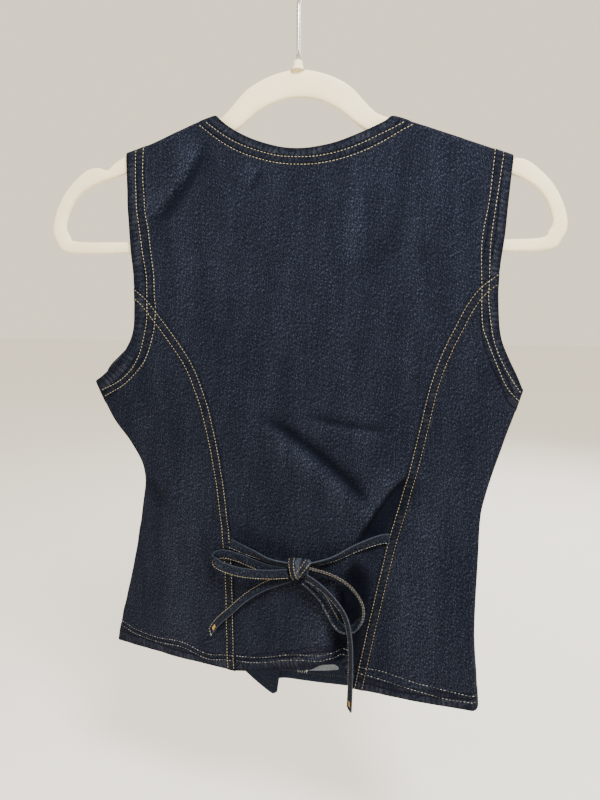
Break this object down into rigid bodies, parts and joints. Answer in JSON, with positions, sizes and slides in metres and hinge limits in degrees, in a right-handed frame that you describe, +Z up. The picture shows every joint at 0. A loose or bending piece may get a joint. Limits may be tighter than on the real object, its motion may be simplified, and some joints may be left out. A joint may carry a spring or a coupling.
{
  "type": "denim vest on hanger",
  "caption": "Fitted dark denim vest with princess seams, contrast topstitching and a waist tie knotted in a bow at the back, hanging on a velvet-covered hanger.",
  "frame": {"origin": "inside top of the hook, where it rests on a rod", "axes": "+Z up, +X towards the wearer's left along the shoulders, +Y towards the wearer's back"},
  "size_m": [0.445, 0.0948, 0.6832],
  "materials": {
    "denim": "dark indigo twill with fine light flecks, cream topstitching",
    "denim_facing": "the same twill turned to the inside of the armholes",
    "tie_denim": "narrow folded strips of the same twill, edge-stitched",
    "button_metal": "aged metal shank buttons",
    "velvet": "cream flocked velvet, matte",
    "hook_metal": "polished steel wire"
  },
  "bodies": {
    "root": {"back_centre": "denim", "back_side_left": "denim", "back_side_right": "denim", "front_left": "denim", "front_right": "denim", "front_side_left": "denim", "front_side_right": "denim", "armhole_facing_left": "denim_facing", "armhole_facing_right": "denim_facing", "button_1": "button_metal", "button_2": "button_metal", "button_3": "button_metal", "button_4": "button_metal", "button_5": "button_metal", "tie_strap_left": "tie_denim", "tie_strap_right": "tie_denim", "bow_loop_left": "tie_denim", "bow_loop_right": "tie_denim", "tie_tail_left": "tie_denim", "tie_tail_right": "tie_denim", "bow_knot": "tie_denim", "hanger": "velvet", "hanger_nub": "velvet", "hook": "hook_metal"}
  },
  "joints": []
}
